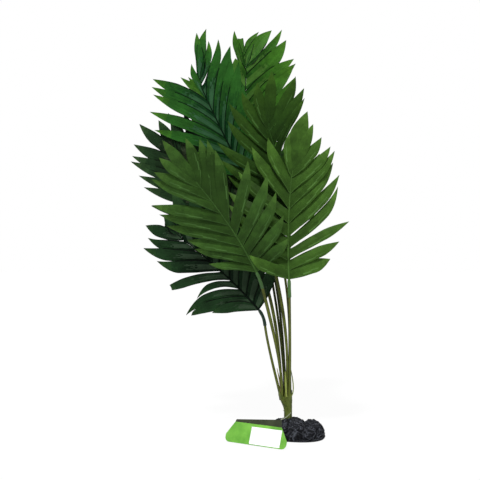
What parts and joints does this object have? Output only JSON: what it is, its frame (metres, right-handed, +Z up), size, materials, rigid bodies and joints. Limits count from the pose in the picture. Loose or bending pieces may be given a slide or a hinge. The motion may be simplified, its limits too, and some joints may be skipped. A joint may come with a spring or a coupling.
{
  "type": "artificial areca palm",
  "caption": "Artificial areca palm: feathered fabric fronds on thin plastic stems fanning out of a short trunk, set in a heavy base cast like a dark rock, with a folded card tag.",
  "frame": {"origin": "the middle of the rock-shaped base's flat underside", "axes": "+Z up, -Y towards the viewer who sees the front fronds, +X to that viewer's right"},
  "size_m": [0.3189, 0.2403, 0.6197],
  "materials": {
    "cast_rock": "matt",
    "trunk_plastic": "matt",
    "stem_plastic": "satin",
    "fabric_front_left": "pressed leaf fabric with a soft sheen",
    "fabric_front_right": "pressed leaf fabric with a soft sheen",
    "fabric_mid_right": "pressed leaf fabric with a soft sheen",
    "fabric_top_left": "pressed leaf fabric with a soft sheen",
    "fabric_top_right": "pressed leaf fabric with a soft sheen",
    "fabric_left": "pressed leaf fabric with a soft sheen",
    "fabric_low_left": "pressed leaf fabric with a soft sheen",
    "fabric_back_left": "pressed leaf fabric with a soft sheen",
    "fabric_back_right": "pressed leaf fabric with a soft sheen",
    "tag_card": "printed card",
    "white_thread": "matt"
  },
  "bodies": {
    "root": {"base": "cast_rock", "trunk": "trunk_plastic", "stem_front_left": "stem_plastic", "frond_front_left": "fabric_front_left", "stem_front_right": "stem_plastic", "frond_front_right": "fabric_front_right", "stem_mid_right": "stem_plastic", "frond_mid_right": "fabric_mid_right", "stem_top_left": "stem_plastic", "frond_top_left": "fabric_top_left", "stem_top_right": "stem_plastic", "frond_top_right": "fabric_top_right", "stem_left": "stem_plastic", "frond_left": "fabric_left", "stem_low_left": "stem_plastic", "frond_low_left": "fabric_low_left", "stem_back_left": "stem_plastic", "frond_back_left": "fabric_back_left", "stem_back_right": "stem_plastic", "frond_back_right": "fabric_back_right", "sprout_left": "trunk_plastic", "sprout_middle": "stem_plastic", "sprout_right": "stem_plastic", "tag": "tag_card", "thread": "white_thread"}
  },
  "joints": []
}
